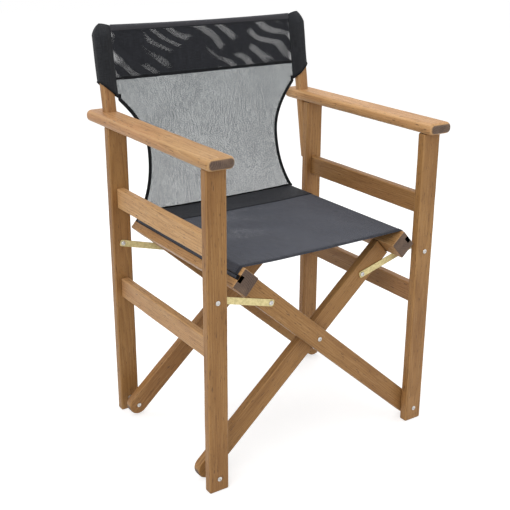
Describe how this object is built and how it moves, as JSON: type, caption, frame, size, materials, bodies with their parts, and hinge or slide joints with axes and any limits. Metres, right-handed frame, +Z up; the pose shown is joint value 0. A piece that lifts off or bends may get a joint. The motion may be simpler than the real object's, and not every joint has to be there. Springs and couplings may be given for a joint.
{
  "type": "folding armchair",
  "caption": "Folding wooden armchair with crossed legs, flat brass links, side frames with armrests and a one-piece mesh sling seat and back.",
  "frame": {"origin": "on the floor, under the middle of the chair's bounding box", "axes": "+Z up, +Y towards the back of the chair, +X towards the right-hand side as seen from the front"},
  "size_m": [0.579, 0.519, 0.8693],
  "materials": {
    "wood": "oiled hardwood, satin",
    "brass_plate": "pale brass plating",
    "zinc_fastener": "zinc plated",
    "black_rod": "black, satin",
    "mesh_cloth": "open mesh weave, dark slate"
  },
  "bodies": {
    "left_side": {"left_front_post": "wood", "left_rear_post": "wood", "left_upper_rail": "wood", "left_lower_rail": "wood", "left_armrest": "wood", "left_back_stile": "wood", "stile_bolt_left_lower": "zinc_fastener", "stile_bolt_left_upper": "zinc_fastener", "link_bolt_left_front": "zinc_fastener", "link_bolt_left_rear": "zinc_fastener", "foot_bolt_left_front": "zinc_fastener", "foot_bolt_left_rear": "zinc_fastener", "foot_nut_left_front": "zinc_fastener", "foot_nut_left_rear": "zinc_fastener", "back_sleeve_left": "mesh_cloth", "foot_spacer_left_front": "zinc_fastener", "foot_spacer_left_rear": "zinc_fastener", "back_panel": "mesh_cloth"},
    "legs_inner": {"inner_leg_front": "wood", "inner_leg_rear": "wood", "seat_rail_right": "wood", "seat_rod_right": "black_rod", "cross_bolt_front": "zinc_fastener", "cross_bolt_rear": "zinc_fastener", "cross_nut_front": "zinc_fastener", "cross_nut_rear": "zinc_fastener", "seat_sling": "mesh_cloth"},
    "legs_outer": {"outer_leg_front": "wood", "outer_leg_rear": "wood", "seat_rail_left": "wood", "seat_rod_left": "black_rod"},
    "right_side": {"right_front_post": "wood", "right_rear_post": "wood", "right_upper_rail": "wood", "right_lower_rail": "wood", "right_armrest": "wood", "right_back_stile": "wood", "stile_bolt_right_lower": "zinc_fastener", "stile_bolt_right_upper": "zinc_fastener", "link_bolt_right_front": "zinc_fastener", "link_bolt_right_rear": "zinc_fastener", "foot_bolt_right_front": "zinc_fastener", "foot_bolt_right_rear": "zinc_fastener", "foot_nut_right_front": "zinc_fastener", "foot_nut_right_rear": "zinc_fastener", "back_sleeve_right": "mesh_cloth", "link_spacer_right_front": "zinc_fastener", "link_spacer_right_rear": "zinc_fastener"},
    "links_left": {"link_left_front": "brass_plate", "link_left_rear": "brass_plate", "link_screw_left_front": "zinc_fastener", "link_screw_left_rear": "zinc_fastener"},
    "links_right": {"link_right_front": "brass_plate", "link_right_rear": "brass_plate", "link_screw_right_front": "zinc_fastener", "link_screw_right_rear": "zinc_fastener"}
  },
  "joints": [
    {"name": "fold", "type": "hinge", "parent": "left_side", "child": "legs_inner", "pos_m": [-0.2585, 0, 0.029], "axis": [0, -1, 0], "range_deg": [0, 38.28], "deforming": ["seat_sling", "back_panel"]},
    {"name": "cross", "type": "hinge", "parent": "legs_inner", "child": "legs_outer", "pos_m": [0, 0, 0.26], "axis": [0, 1, 0], "range_deg": [0, 84.53]},
    {"name": "right_foot", "type": "hinge", "parent": "legs_outer", "child": "right_side", "pos_m": [0.2585, 0, 0.029], "axis": [0, -1, 0], "range_deg": [0, 38.38]},
    {"name": "left_link", "type": "hinge", "parent": "left_side", "child": "links_left", "pos_m": [-0.2585, 0, 0.409], "axis": [0, -1, 0], "range_deg": [0, 83.09]},
    {"name": "right_link", "type": "hinge", "parent": "right_side", "child": "links_right", "pos_m": [0.2585, 0, 0.409], "axis": [0, 1, 0], "range_deg": [0, 83.09]}
  ],
  "couplings": [
    {"joint": "cross", "follows": "fold", "ratio": 2.2056},
    {"joint": "right_foot", "follows": "fold", "ratio": 1},
    {"joint": "left_link", "follows": "fold", "ratio": 2.1679},
    {"joint": "right_link", "follows": "fold", "ratio": 2.1679}
  ]
}
